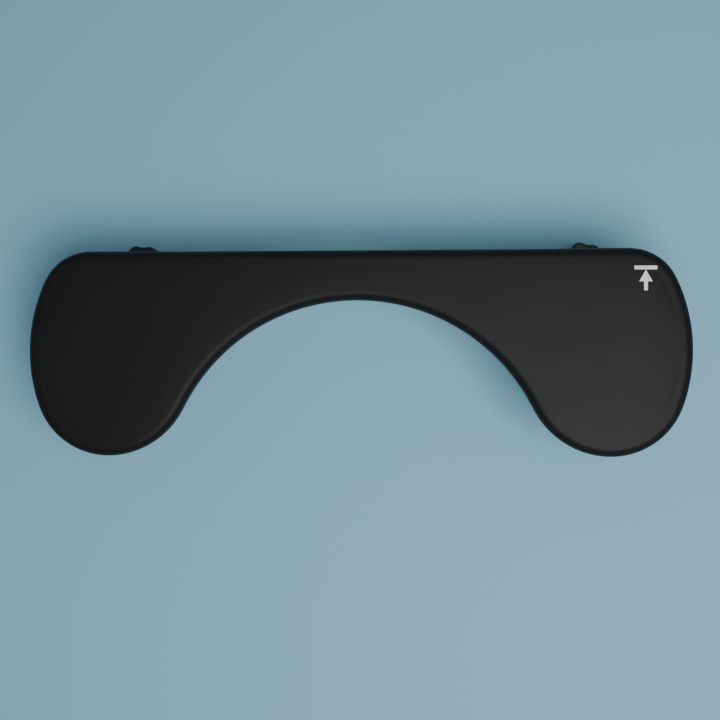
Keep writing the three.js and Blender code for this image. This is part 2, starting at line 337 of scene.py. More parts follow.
def cut_foam(name):
    """Open foam: small round cells, with painted shade in the hollow of each cell."""
    finish, nodes, links = empty_page(name)

    place = nodes.new("ShaderNodeTexCoord")
    place.label = "Where in the foam"
    cells = nodes.new("ShaderNodeTexVoronoi")
    cells.label = "Cells"
    tint = nodes.new("ShaderNodeValToRGB")
    tint.label = "Painted shade inside each cell"
    dents = nodes.new("ShaderNodeBump")
    dents.label = "Open cells"
    foam_surface = nodes.new("ShaderNodeBsdfPrincipled")
    foam_surface.label = "Grey foam"
    output = nodes.new("ShaderNodeOutputMaterial")
    output.label = "Surface"
    cell_frame = nodes.new("NodeFrame")
    cell_frame.label = "Cells"
    surface_frame = nodes.new("NodeFrame")
    surface_frame.label = "Surface"
    lay_out({cell_frame: (place, cells, tint, dents), surface_frame: (foam_surface, output)})

    cells.inputs["Scale"].default_value = 1100
    # Painted shade: the dark colour sits where each cell's dent is deepest, in place of the shade in
    # its hollow.
    tint.color_ramp.elements[0].color = (0.035, 0.036, 0.04, 1)
    tint.color_ramp.elements[1].color = (0.2, 0.2, 0.21, 1)
    tint.color_ramp.elements[1].position = 0.6
    dents.inputs["Strength"].default_value = 0.7
    dents.inputs["Distance"].default_value = 0.0004
    foam_surface.inputs["Roughness"].default_value = 0.95

    links.new(place.outputs["Object"], cells.inputs["Vector"])
    links.new(cells.outputs["Distance"], tint.inputs["Fac"])
    links.new(cells.outputs["Distance"], dents.inputs["Height"])
    links.new(tint.outputs["Color"], foam_surface.inputs["Base Color"])
    links.new(dents.outputs["Normal"], foam_surface.inputs["Normal"])
    links.new(foam_surface.outputs["BSDF"], output.inputs["Surface"])
    return finish


def plies(name, sheets, thickness):
    """Birch plywood: sheets that change with height, and long grain along the board."""
    finish, nodes, links = empty_page(name)

    place = nodes.new("ShaderNodeTexCoord")
    place.label = "Where in the wood"
    split = nodes.new("ShaderNodeSeparateXYZ")
    split.label = "Height alone"
    layer = nodes.new("ShaderNodeMath")
    layer.label = "Up and down once for two sheets"
    edge = nodes.new("ShaderNodeMapRange")
    edge.label = "Sharp glue lines"
    stretch = nodes.new("ShaderNodeMapping")
    stretch.label = "Long along the board"
    grain = nodes.new("ShaderNodeTexNoise")
    grain.label = "Wood grain"
    wood = nodes.new("ShaderNodeMix")
    wood.label = "Light and dark grain"
    sheet_tint = nodes.new("ShaderNodeMix")
    sheet_tint.label = "Cross plies are darker"
    grain_bump = nodes.new("ShaderNodeBump")
    grain_bump.label = "Grain lines"
    timber = nodes.new("ShaderNodeBsdfPrincipled")
    timber.label = "Birch plywood"
    output = nodes.new("ShaderNodeOutputMaterial")
    output.label = "Surface"
    sheet_frame = nodes.new("NodeFrame")
    sheet_frame.label = "Sheets"
    grain_frame = nodes.new("NodeFrame")
    grain_frame.label = "Grain"
    surface_frame = nodes.new("NodeFrame")
    surface_frame.label = "Surface"
    lay_out(
        {
            sheet_frame: (place, split, layer, edge, sheet_tint),
            grain_frame: (stretch, grain, wood, grain_bump),
            surface_frame: (timber, output),
        }
    )

    layer.operation = "PINGPONG"
    layer.inputs[1].default_value = thickness / sheets
    edge.inputs["From Min"].default_value = 0.45 * thickness / sheets
    edge.inputs["From Max"].default_value = 0.55 * thickness / sheets
    stretch.inputs["Scale"].default_value = (12, 320, 320)
    grain.inputs["Scale"].default_value = 1
    grain.inputs["Detail"].default_value = 6
    wood.data_type = "RGBA"
    wood.inputs["A"].default_value = (0.42, 0.27, 0.13, 1)
    wood.inputs["B"].default_value = (0.62, 0.45, 0.26, 1)
    sheet_tint.data_type = "RGBA"
    sheet_tint.blend_type = "MULTIPLY"
    sheet_tint.inputs["B"].default_value = (0.6, 0.52, 0.45, 1)
    grain_bump.inputs["Strength"].default_value = 0.3
    grain_bump.inputs["Distance"].default_value = 0.0001
    timber.inputs["Roughness"].default_value = 0.65

    links.new(place.outputs["Object"], split.inputs["Vector"])
    links.new(place.outputs["Object"], stretch.inputs["Vector"])
    links.new(split.outputs["Z"], layer.inputs[0])
    links.new(layer.outputs["Value"], edge.inputs["Value"])
    links.new(stretch.outputs["Vector"], grain.inputs["Vector"])
    links.new(grain.outputs["Fac"], wood.inputs["Factor"])
    links.new(grain.outputs["Fac"], grain_bump.inputs["Height"])
    links.new(edge.outputs["Result"], sheet_tint.inputs["Factor"])
    links.new(wood.outputs["Result"], sheet_tint.inputs["A"])
    links.new(sheet_tint.outputs["Result"], timber.inputs["Base Color"])
    links.new(grain_bump.outputs["Normal"], timber.inputs["Normal"])
    links.new(timber.outputs["BSDF"], output.inputs["Surface"])
    return finish


# %% [markdown]
# Powder coat, moulded plastic and rubber are one make-up: one colour all through, with a texture from
# the mould or the oven. Zinc, black oxide and brass are another: bare metal with fine turning or
# rolling marks. Each make-up is one function, and the arguments make it this or that material.

# %% Finishes: coated, moulded and metal parts


def one_colour(name, colour, roughness, texture_scale, texture_depth):
    """Powder coat, plastic or rubber: an even colour with a fine texture in the surface."""
    finish, nodes, links = empty_page(name)

    place = nodes.new("ShaderNodeTexCoord")
    place.label = "Where on the part"
    handling = nodes.new("ShaderNodeTexNoise")
    handling.label = "Handled and untouched places"
    shine = nodes.new("ShaderNodeMapRange")
    shine.label = "Shine changes a little"
    texture = nodes.new("ShaderNodeTexNoise")
    texture.label = "Texture of the surface"
    bump = nodes.new("ShaderNodeBump")
    bump.label = "Texture depth"
    body = nodes.new("ShaderNodeBsdfPrincipled")
    body.label = name
    output = nodes.new("ShaderNodeOutputMaterial")
    output.label = "Surface"
    shine_frame = nodes.new("NodeFrame")
    shine_frame.label = "Shine"
    texture_frame = nodes.new("NodeFrame")
    texture_frame.label = "Texture"
    surface_frame = nodes.new("NodeFrame")
    surface_frame.label = "Surface"
    lay_out(
        {
            shine_frame: (place, handling, shine),
            texture_frame: (texture, bump),
            surface_frame: (body, output),
        }
    )

    handling.inputs["Scale"].default_value = 45
    handling.inputs["Detail"].default_value = 3
    shine.inputs["To Min"].default_value = roughness - 0.06
    shine.inputs["To Max"].default_value = roughness + 0.06
    texture.inputs["Scale"].default_value = texture_scale
    texture.inputs["Detail"].default_value = 2
    bump.inputs["Strength"].default_value = 0.5
    bump.inputs["Distance"].default_value = texture_depth
    body.inputs["Base Color"].default_value = (*colour, 1)

    links.new(place.outputs["Object"], handling.inputs["Vector"])
    links.new(place.outputs["Object"], texture.inputs["Vector"])
    links.new(handling.outputs["Fac"], shine.inputs["Value"])
    links.new(texture.outputs["Fac"], bump.inputs["Height"])
    links.new(shine.outputs["Result"], body.inputs["Roughness"])
    links.new(bump.outputs["Normal"], body.inputs["Normal"])
    links.new(body.outputs["BSDF"], output.inputs["Surface"])
    return finish


def bare_metal(name, colour, stain, roughness):
    """Metal with fine marks round its axis, and a faint uneven film."""
    finish, nodes, links = empty_page(name)

    place = nodes.new("ShaderNodeTexCoord")
    place.label = "Where on the part"
    film = nodes.new("ShaderNodeTexNoise")
    film.label = "Uneven film"
    tint = nodes.new("ShaderNodeMix")
    tint.label = "Clean and dull metal"
    shine = nodes.new("ShaderNodeMapRange")
    shine.label = "Dull where the film is thick"
    flatten = nodes.new("ShaderNodeMapping")
    flatten.label = "Marks run level"
    marks = nodes.new("ShaderNodeTexNoise")
    marks.label = "Turning marks"
    bump = nodes.new("ShaderNodeBump")
    bump.label = "Mark depth"
    metal = nodes.new("ShaderNodeBsdfPrincipled")
    metal.label = name
    output = nodes.new("ShaderNodeOutputMaterial")
    output.label = "Surface"
    film_frame = nodes.new("NodeFrame")
    film_frame.label = "Film"
    mark_frame = nodes.new("NodeFrame")
    mark_frame.label = "Marks"
    surface_frame = nodes.new("NodeFrame")
    surface_frame.label = "Surface"
    lay_out(
        {
            film_frame: (place, film, tint, shine),
            mark_frame: (flatten, marks, bump),
            surface_frame: (metal, output),
        }
    )

    film.inputs["Scale"].default_value = 120
    film.inputs["Detail"].default_value = 4
    tint.data_type = "RGBA"
    tint.inputs["A"].default_value = (*colour, 1)
    tint.inputs["B"].default_value = (*stain, 1)
    shine.inputs["To Min"].default_value = roughness - 0.08
    shine.inputs["To Max"].default_value = roughness + 0.1
    flatten.inputs["Scale"].default_value = (90, 90, 2600)
    marks.inputs["Scale"].default_value = 1
    bump.inputs["Strength"].default_value = 0.25
    bump.inputs["Distance"].default_value = 0.00003
    metal.inputs["Metallic"].default_value = 1

    links.new(place.outputs["Object"], film.inputs["Vector"])
    links.new(place.outputs["Object"], flatten.inputs["Vector"])
    links.new(film.outputs["Fac"], tint.inputs["Factor"])
    links.new(film.outputs["Fac"], shine.inputs["Value"])
    links.new(flatten.outputs["Vector"], marks.inputs["Vector"])
    links.new(marks.outputs["Fac"], bump.inputs["Height"])
    links.new(tint.outputs["Result"], metal.inputs["Base Color"])
    links.new(shine.outputs["Result"], metal.inputs["Roughness"])
    links.new(bump.outputs["Normal"], metal.inputs["Normal"])
    links.new(metal.outputs["BSDF"], output.inputs["Surface"])
    return finish


# %% The finishes in use
hide_finish = leatherette("Black leatherette")
cloth_finish = bonded_fibres("Black dust sheet")
foam_finish = cut_foam("Grey foam")
ply_finish = plies("Birch plywood", 7, 9 * MM)
coat_finish = one_colour("Black powder coat", (0.012, 0.012, 0.0125), 0.48, 900, 0.12 * MM)
knob_finish = one_colour("Black moulded plastic", (0.008, 0.008, 0.0085), 0.42, 2600, 0.05 * MM)
rubber_finish = one_colour("Black rubber", (0.014, 0.014, 0.014), 0.82, 1500, 0.08 * MM)
print_finish = one_colour("White ink", (0.72, 0.72, 0.70), 0.6, 3000, 0.01 * MM)
floor_finish = one_colour("Pale floor", (0.22, 0.47, 0.60), 0.9, 60, 0.02 * MM)
zinc_finish = bare_metal("Bright zinc", (0.62, 0.64, 0.66), (0.42, 0.44, 0.47), 0.34)
oxide_finish = bare_metal("Black oxide", (0.05, 0.05, 0.055), (0.02, 0.02, 0.025), 0.4)
brass_finish = bare_metal("Brass", (0.72, 0.52, 0.22), (0.5, 0.34, 0.14), 0.32)
print("finishes:", len(bpy.data.materials))

# %% [markdown]
# The board's outline is a chain of arcs that run smoothly into each other: the hollow recess for the
# body, the two rounds of the arm lobe, the outer side and the back corner. The real one is cut from
# plywood round a template. Here a single vertex is spun round each arc's centre in turn, and the half
# outline is mirrored. Every layer of the board follows the same chain, moved inwards.

# %% The outline chain
board_low, board_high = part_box("cover_skin")
WELD = 0.01 * MM  # points closer than this become one
RECESS_FRONT = -0.3 * MM  # the deepest point of the body recess
ARCS = (  # radius, turn in degrees (left is positive), steps
    (195.4 * MM, -63.5, 32),  # body recess
    (84.5 * MM, 63.5, 14),  # inner round of the arm lobe
    (74.3 * MM, 70.5, 14),  # outer round of the arm lobe
    (166.2 * MM, 44.9, 22),  # outer side
    (50.2 * MM, 64.6, 10),  # back corner
)
SIDE_ARC = 3  # the outer side, which is one end of the board's grid
FRONT_STEPS = sum(steps for _, _, steps in ARCS[:SIDE_ARC])
BACK_STEPS = FRONT_STEPS - ARCS[-1][2]  # so that the grid has as many lines at the back


def arc_walk(inset):
    """Centre, radius, heading and turn of each arc of the half outline, moved inwards."""
    point, heading = Vector((0, RECESS_FRONT + inset)), 0.0
    for radius, degrees, steps in ARCS:
        side = math.copysign(1, degrees)
        moved = radius - side * inset
        centre = point + side * moved * Vector((-math.sin(heading), math.cos(heading)))
        yield centre, moved, heading, math.radians(degrees), steps
        heading += math.radians(degrees)
        point = centre + side * moved * Vector((math.sin(heading), -math.cos(heading)))


def outline_face(name, inset, z):
    """The whole outline as one flat face, facing up."""
    bpy.ops.mesh.primitive_plane_add(size=MM, location=(0, RECESS_FRONT + inset, z))
    piece = new_piece(name)
    edit_all(piece)
    bpy.ops.mesh.merge(type="CENTER")
    for centre, _, _, turn, steps in arc_walk(inset):
        bpy.ops.mesh.spin(steps=steps, angle=-turn, center=(*centre, z), axis=(0, 0, 1))
    end = max(v.co.x for v in bmesh.from_edit_mesh(piece.data).verts if v.select)
    for _ in range(BACK_STEPS):
        bpy.ops.mesh.extrude_vertices_move(TRANSFORM_OT_translate={"value": (-end / BACK_STEPS, 0, 0)})
    apply_modifier(piece, "MIRROR", merge_threshold=WELD)
    edit_all(piece)
    bpy.ops.mesh.remove_doubles(threshold=WELD)
    bpy.ops.mesh.edge_face_add()
    if bmesh.from_edit_mesh(piece.data).faces[:][0].normal.z < 0:
        bpy.ops.mesh.flip_normals()
    return piece


# %% [markdown]
# The edge of a padded board is a bull nose: the foam is trimmed round and the cover is pulled over it.
# On a flat face this is a run of narrow insets, each pushed out a little less than the last, so that
# the rings follow a quarter of an ellipse. The flat face inside the rings is too big to bend, so it
# is swapped for a grid that runs from the front edge to the back edge.

# %% Rounding an edge and filling a face
FLAT_FACE_CORNERS = 100  # only a whole outline has more


def round_over(width, height, steps):
    """Turns the selected flat face's edge through a quarter round, and keeps the face selected."""
    gone_in = gone_out = 0.0
    for step in range(1, steps + 1):
        angle = math.radians(90) * step / steps
        inwards, outwards = width * (1 - math.cos(angle)), height * math.sin(angle)
        bpy.ops.mesh.inset(thickness=inwards - gone_in, depth=outwards - gone_out)
        gone_in, gone_out = inwards, outwards


def rings(width, steps):
    """Flat rings of even width inside the selected face's edge."""
    for _ in range(steps):
        bpy.ops.mesh.inset(thickness=width / steps, depth=0)


def pick_flat_face(piece, z):
    """Selects the outline-shaped face at a height."""
    near = 0.1 * MM
    return pick(
        piece, "FACE", lambda f: len(f.verts) > FLAT_FACE_CORNERS and abs(middle(f).z - z) < near
    )


def fill_with_grid(piece, inset, z):
    """Swaps the outline-shaped face at a height for a grid from front to back."""
    pick_flat_face(piece, z)
    mesh = bmesh.from_edit_mesh(piece.data)
    mesh.edges.index_update()
    rim = {edge.index for face in mesh.faces if face.select for edge in face.edges}
    bpy.ops.mesh.delete(type="ONLY_FACE")
    centre, radius, heading, _, _ = list(arc_walk(inset))[SIDE_ARC]
    corner = centre + radius * Vector((math.sin(heading), -math.cos(heading)))
    pick(piece, "EDGE", lambda e: e.index in rim)
    mesh = bmesh.from_edit_mesh(piece.data)
    start = min((v for v in mesh.verts if v.select), key=lambda v: (v.co.xy - corner).length)
    mesh.select_history.clear()
    mesh.select_history.add(start)
    bmesh.update_edit_mesh(piece.data)
    bpy.ops.mesh.fill_grid(span=2 * FRONT_STEPS)


def face_outwards(piece):
    """Turns every face outwards, and leaves everything selected."""
    edit_all(piece)
    bpy.ops.mesh.normals_make_consistent(inside=False)


# %% [markdown]
# The cover is one hide of leatherette, drawn tight over foam on plywood and folded in under the edge.
# It starts as the outline with its wall and its two rounded edges, open underneath where the real
# one ends in a raw turned-in border. Then a short cloth simulation blows it up gently, as the foam
# does. The plywood holds the wall in place, so a point may move only a little sideways.

# %% The cover's shape
TOP_ROLL = (8.5 * MM, 9 * MM)  # width and height of the upper rounding
BOTTOM_ROLL = (4 * MM, 4 * MM)
HIDE = 1.2 * MM  # thickness of the leatherette
TURN_IN = 18 * MM  # how far the hide goes in under the edge
TOP_RINGS = 6 * MM  # width of the flat rings between the rounding and the grid
WALL_STEPS, ROLL_STEPS = 3, 7  # bands of faces up the wall and round the upper edge
CROWN = 1.3 * MM  # how far the foam lifts the cover's middle
SWELL = 0.25 * MM  # how far it swells sideways
LOBE_SWELL = 0.5 * MM  # how much farther the foam pushes the wall out round the arm lobes
wall_low = board_low.z + BOTTOM_ROLL[1]
wall_high = board_high.z - CROWN - TOP_ROLL[1]


def padded_form(name, inset, low, high, top_roll):
    """A closed form on the outline: a wall, a rounded top edge and a grid of faces on top."""
    piece = outline_face(name, inset, low)
    edit_all(piece)
    for _ in range(WALL_STEPS):
        extrude(z=(high - low) / WALL_STEPS)
    round_over(*top_roll, ROLL_STEPS)
    rings(TOP_RINGS, 2)
    fill_with_grid(piece, inset + top_roll[0] + TOP_RINGS, high + top_roll[1])
    face_outwards(piece)
    return piece


cover = padded_form("cover", 0, wall_low, wall_high, TOP_ROLL)
pick_flat_face(cover, wall_low)
round_over(*BOTTOM_ROLL, 3)
rings(TURN_IN - BOTTOM_ROLL[0], 4)
bpy.ops.mesh.delete(type="FACE")
click(cover)
print("cover form:", len(cover.data.vertices), "points")

# %% Blowing the cover up
FRAMES = 16
PRESSURE = 1.0
STRETCH, BENDING = 40, 2  # stiffness of the hide
EVENING_PASSES = 150


def blow_up(piece, held_below):
    """Cloth simulation with pressure and no weight; the points below a height stay put."""
    click(piece)
    held = piece.vertex_groups.new(name="held")
    for vertex in piece.data.vertices:
        held.add([vertex.index], 1.0 if vertex.co.z < held_below else 0.0, "REPLACE")
    bpy.ops.object.modifier_add(type="CLOTH")
    cloth = piece.modifiers["Cloth"]
    cloth.settings.vertex_group_mass = "held"
    cloth.settings.use_pressure = True
    cloth.settings.uniform_pressure_force = PRESSURE
    cloth.settings.effector_weights.gravity = 0
    cloth.settings.tension_stiffness = cloth.settings.compression_stiffness = STRETCH
    cloth.settings.bending_stiffness = BENDING
    cloth.point_cache.frame_end = FRAMES
    for step in range(1, FRAMES + 1):
        scene.frame_set(step)
    bpy.ops.object.modifier_apply(modifier="Cloth")
    scene.frame_set(1)
    piece.vertex_groups.remove(piece.vertex_groups["held"])


def eased(move, most):
    """A move that never passes its cap, and reaches it softly."""
    return most * math.tanh(move / most)


def evened_out(piece, places, moves):
    """Each move averaged with its neighbours', the near ones most, as a stiff hide spreads a bulge."""
    neighbours = [[] for _ in moves]
    for one, other in (edge.vertices for edge in piece.data.edges):
        pull = 1 / (places[one] - places[other]).length
        neighbours[one].append((other, pull))
        neighbours[other].append((one, pull))
    for _ in range(EVENING_PASSES):
        around = [
            sum((moves[n] * pull for n, pull in near), Vector()) / sum(pull for _, pull in near)
            for near in neighbours
        ]
        moves = [(move + mean) / 2 for move, mean in zip(moves, around)]
    return moves


flat_places = [vertex.co.copy() for vertex in cover.data.vertices]
blow_up(cover, held_below=wall_low + 0.5 * MM)
moves = [vertex.co - place for vertex, place in zip(cover.data.vertices, flat_places)]
print("largest move in mm:", round(max(move.length for move in moves) / MM, 1))
evened = evened_out(cover, flat_places, moves)
for vertex, place, move in zip(cover.data.vertices, flat_places, evened):
    sideways = move.xy.length or 1.0
    vertex.co.xy = place.xy + move.xy * (eased(sideways, SWELL) / sideways)
    vertex.co.z = place.z + eased(move.z, CROWN)
lifts = [vertex.co.z - place.z for vertex, place in zip(cover.data.vertices, flat_places)]
print("largest lift in mm:", round(max(lifts) / MM, 2))

# %% [markdown]
# On the convex rounds the cover has too much material for the lower edge, so it is gathered into
# small pleats before it is stapled. They are deepest under the board and die out a little way up the
# wall. They are moves of the mesh by code, because they follow the outline's own length.

# %% Gathers under the rounds
PLEAT = 9 * MM  # width of one gather
PLEAT_DEPTH = 0.9 * MM
PLEAT_TOP = wall_low + 4 * MM  # the height where the gathers have died out
LOBE_START, LOBE_RAMP = 170 * MM, 70 * MM  # where the arm lobes begin, from the middle


def along_outline(x, y):
    """The convex arc a point lies on, how far round it and the arc's length; None on the others."""
    for number, (centre, radius, heading, turn, _) in enumerate(arc_walk(0)):
        from_centre = Vector((abs(x), y)) - centre
        angle = (math.atan2(from_centre.x, -from_centre.y) - heading) % math.tau
        if turn > 0 and angle < turn:
            return number, angle * radius, turn * radius
    return None


def gather_depth(place, strength):
    """Depth of the pleats at a point, from a strength of 0 up the wall to 1 under the board."""
    found = along_outline(place.x, place.y)
    if not found:
        return 0.0
    number, length, whole = found
    fade_ends = min(1.0, length / (2 * PLEAT), (whole - length) / (2 * PLEAT))
    # Slow waves out of step with the pleats make no two of them alike.
    wander = 0.35 * math.sin(7.3 * length / PLEAT + number) + 0.2 * math.sin(2.9 * length / PLEAT)
    wave = 0.5 + 0.5 * math.sin(math.tau * length / PLEAT + wander * 2 + math.copysign(1, place.x))
    return PLEAT_DEPTH * strength * max(0.0, fade_ends) * wave**2


def on_lobe(x):
    """0 along the neck of the board, rising smoothly to 1 on the arm lobes."""
    part = min(1.0, max(0.0, (abs(x) - LOBE_START) / LOBE_RAMP))
    return part * part * (3 - 2 * part)


apply_modifier(cover, "SUBSURF", levels=1, render_levels=1)
for vertex in cover.data.vertices:
    up_wall = (vertex.co.z - board_low.z) / (board_high.z - board_low.z)
    bulge = LOBE_SWELL * on_lobe(vertex.co.x) * math.sin(math.pi * min(1.0, max(0.0, up_wall)))
    vertex.co += Vector((vertex.normal.x, vertex.normal.y, 0.0)) * bulge
for vertex in cover.data.vertices:
    low = min(1.0, max(0.0, (PLEAT_TOP - vertex.co.z) / (PLEAT_TOP - board_low.z)))
    if low > 0:
        depth = gather_depth(vertex.co, low**1.5)
        vertex.co += Vector((-vertex.normal.x, -vertex.normal.y, 0.0)) * depth
        vertex.co.z += 0.6 * depth * (1 if vertex.co.z < board_low.z + MM else 0)
apply_modifier(cover, "SOLIDIFY", thickness=HIDE, offset=-1)
smooth(cover, 50)
mounted(cover, "board", "leatherette", hide_finish, "cover_skin")

# %% [markdown]
# Under the cover lies a sheet of foam on the plywood. It is hidden, but anyone who takes the board
# apart will find it, so it is cut to the same outline, inside the hide.

# %% Foam
foam_low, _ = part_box("foam_pad")
UNDER_HIDE = HIDE + 0.6 * MM  # how far inside the cover's outer face the foam ends
foam_roll = (TOP_ROLL[0] - HIDE, TOP_ROLL[1] - HIDE)
foam_wall_top = board_high.z - CROWN - UNDER_HIDE - foam_roll[1]
foam = padded_form("foam", UNDER_HIDE, foam_low.z, foam_wall_top, foam_roll)
smooth(foam, 50)
mounted(foam, "board", "foam", foam_finish, "foam_pad")
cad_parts["base_board"].data.materials[0] = ply_finish

# %% [markdown]
# The underside is closed by a dust sheet of non-woven cloth, with its edge folded under and stapled
# down every few centimetres. The staples pull small dimples into it. It is a thin sheet on the same
# grid as the board, dimpled round each staple, and thickened at the end.

# %% Staple places and the dust sheet
HEM = 8 * MM  # from the board's edge to the sheet's
HEM_TO_STAPLE = 4.5 * MM
STAPLE_PITCH = 27 * MM
CLEARANCE = 8 * MM  # round a bracket
bracket_low, bracket_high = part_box("right_bracket")
clamp_x = (bracket_low.x + bracket_high.x) / 2
strip_width = bracket_high.x - bracket_low.x


def clear_of_bracket(x, y):
    """0 under a bracket, rising to 1 a little way off."""
    beside = abs(abs(x) - clamp_x) - strip_width / 2
    in_front = bracket_low.y - y
    return min(1.0, max(0.0, beside, in_front) / CLEARANCE)


def staple_places(inset):
    """(x, y, angle) of each staple round the whole outline, none of them under a bracket."""
    half = []
    for centre, radius, heading, turn, _ in arc_walk(inset):
        side = math.copysign(1, turn)
        count = max(1, round(abs(turn) * radius / STAPLE_PITCH))
        for number in range(count):
            angle = heading + turn * (number + 0.5) / count
            point = centre + side * radius * Vector((math.sin(angle), -math.cos(angle)))
            half.append((point.x, point.y, angle))
    back_end, back_y = point.x, board_high.y - inset
    count = round(back_end / STAPLE_PITCH)
    half += [(back_end * (n + 0.5) / count, back_y, 0.0) for n in range(count)]
    mirrored = [(-x, y, -angle) for x, y, angle in half]
    return [spot for spot in half + mirrored if clear_of_bracket(*spot[:2]) == 1]


staples_at = staple_places(HEM + HEM_TO_STAPLE)
CLOTH = 0.5 * MM
SAG = 0.9 * MM
sheet_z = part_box("underside_lining")[0].z + 0.15 * MM
sheet = outline_face("dust_sheet", HEM, sheet_z)
edit_all(sheet)
rings(2 * HEM_TO_STAPLE, 6)
fill_with_grid(sheet, HEM + 2 * HEM_TO_STAPLE, sheet_z)
click(sheet)
apply_modifier(sheet, "SUBSURF", levels=1, render_levels=1)
for vertex in sheet.data.vertices:
    x, y, _ = vertex.co
    nearest = min(math.hypot(x - spot[0], y - spot[1]) for spot in staples_at)
    free = math.sin(math.radians(90) * min(1.0, nearest / STAPLE_PITCH))
    wave = 0.5 + 0.5 * math.sin(95 * x + 1.7 * math.sin(60 * y)) * math.cos(110 * y + 23 * x)
    vertex.co.z -= SAG * free * (0.45 + 0.55 * wave) * clear_of_bracket(x, y)
apply_modifier(sheet, "SOLIDIFY", thickness=CLOTH, offset=1)
smooth(sheet, 60)
mounted(sheet, "board", "lining", cloth_finish, "underside_lining")

# %% [markdown]
# A staple is a bent wire: a flat crown and two legs that go up into the plywood. One is made from a
# box with its ends drawn up and its edges rounded. Then it is copied to each place, turned along the
# board's edge, and the copies are joined into one piece.

# %% Staples
UPWARDS = 0.9  # a face whose normal's height is more than this looks up
CROWN_LENGTH = 10 * MM
WIRE = (1.25 * MM, 0.6 * MM)  # width and thickness of the staple wire
LEG = 1.2 * MM  # what shows of each leg
bpy.ops.mesh.primitive_cube_add(size=1)
bpy.context.object.scale = (CROWN_LENGTH, WIRE[0], WIRE[1])
one_staple = new_piece("staples")
leg_x = CROWN_LENGTH / 2 - WIRE[1]
for end in (-1, 1):
    edit_all(one_staple)
    bpy.ops.mesh.bisect(plane_co=(end * leg_x, 0, 0), plane_no=(1, 0, 0))
    pick(one_staple, "FACE", lambda f: f.normal.z > UPWARDS and end * middle(f).x > leg_x)
    extrude(z=LEG)
apply_modifier(one_staple, "BEVEL", width=0.2 * MM, segments=2)
staple_z = sheet_z - WIRE[1] / 2 + 0.05 * MM
twins = []
for x, y, angle in staples_at:
    click(one_staple)
    bpy.ops.object.duplicate()
    twin = bpy.context.object
    twin.location, twin.rotation_euler.z = (x, y, staple_z), angle
    twins.append(twin)
click(one_staple)
bpy.ops.object.delete()
staples = join(twins, "staples")
smooth(staples, 40)
mounted(staples, "board", None, zinc_finish)
print(len(staples_at), "staples")

# %% [markdown]
# Both clamps are the same, so each of their pieces is made once, on the middle plane, and then copied
# to the left and to the right. The places come from the CAD boxes.

# %% Copies for both sides
screw_low, screw_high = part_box("right_clamp_screw")
axis_y = (screw_low.y + screw_high.y) / 2
SIDES = {"left": -clamp_x, "right": clamp_x}


def for_both_sides(piece, name, body, slot, material, turns=None):
    """Copies a piece made at x = 0 to both clamps and mounts the copies."""
    for side, x in SIDES.items():
        click(piece)
        bpy.ops.object.duplicate()
        twin = bpy.context.object
        twin.name = twin.data.name = f"{side}_{name}_made"
        if turns:
            around = Matrix.Translation((0, axis_y, 0))
            turn = Matrix.Rotation(-math.radians(turns[side]), 4, "Z")
            twin.data.transform(around @ turn @ around.inverted())
        twin.location.x = x
        mounted(twin, body.format(side), slot, material, f"{side}_{name}")
    click(piece)
    bpy.ops.object.delete()


def cut_out(piece, *cutters, operation="DIFFERENCE"):
    """Subtracts the cutters from the piece, or keeps what they have in common, and removes them."""
    for cutter in cutters:
        apply_modifier(piece, "BOOLEAN", object=cutter, operation=operation)
        click(cutter)
        bpy.ops.object.delete()


def rod(radius, low, high, x=0.0, y=0.0, sides=48):
    """A round or many-sided bar between two heights."""
    bpy.ops.mesh.primitive_cylinder_add(
        vertices=sides, radius=radius, depth=high - low, location=(x, y, (low + high) / 2)
    )
    return new_piece("rod")


def cone(low_radius, high_radius, low, high, x=0.0, y=0.0):
    """A bar that tapers between two heights."""
    bpy.ops.mesh.primitive_cone_add(
        vertices=48,
        radius1=low_radius,
        radius2=high_radius,
        depth=high - low,
        location=(x, y, (low + high) / 2),
    )
    return new_piece("cone")


def blank(name, radius, z, corners, y=0.0):
    """A round flat face, all of it selected in edit mode."""
    bpy.ops.mesh.primitive_circle_add(
        vertices=corners, radius=radius, fill_type="NGON", location=(0, y, z)
    )
    piece = new_piece(name)
    edit_all(piece)
    return piece


def widen(factor, y=0.0):
    """Scales the selection sideways about an upright axis."""
    bpy.ops.transform.resize(value=(factor, factor, 1), center_override=(0, y, 0))


def round_edges(piece, width, segments=2, degrees=40):
    """Bevels every edge that is sharper than an angle."""
    angle = math.radians(degrees)
    apply_modifier(
        piece, "BEVEL", width=width, segments=segments, limit_method="ANGLE", angle_limit=angle
    )


# %% [markdown]
# The bracket is a strip of 3 mm steel, bent twice in a press: an upper flange that is screwed to the
# board, a web down the desk's front edge, and a lower flange that ends in a round nose. Here the
# strip's cross-section is extruded along the flanges and spun round the bends.

# %% Bracket
STEEL = 3 * MM
BEND = 3 * MM  # inside radius
FLANGE_END = 40 * MM
NOSE = bracket_high.y - axis_y
NOSE_LEAN, NOSE_END = math.radians(25), math.radians(85)  # where its round starts and ends
SHOULDER = axis_y - 22 * MM
SCREW_SPOTS = [(x * MM, y * MM) for x in (-10.5, 10.5) for y in (9, 25)]
HEAD, SHANK = 4.8 * MM, 2.35 * MM  # radii of the flange screws
THREAD_HOLE = 4.7 * MM
JAW_PAD = bracket_high.z - STEEL  # the jaw pad's thickness, from the desk's face at zero
upper_z = bracket_high.z - STEEL / 2
lower_z = bracket_low.z + STEEL / 2
bpy.ops.mesh.primitive_plane_add(
    size=1, location=(0, FLANGE_END, upper_z), rotation=(math.radians(90), 0, 0)
)
bpy.context.object.scale = (strip_width, STEEL, 1)
bracket = new_piece("bracket")
edit_all(bracket)
extrude(y=BEND - FLANGE_END)
upper_bend_z = bracket_high.z - STEEL - BEND
lower_bend_z = bracket_low.z + STEEL + BEND
bend = {"steps": 10, "angle": math.radians(-90), "axis": (1, 0, 0)}
bpy.ops.mesh.spin(center=(0, BEND, upper_bend_z), **bend)
extrude(z=lower_bend_z - upper_bend_z)
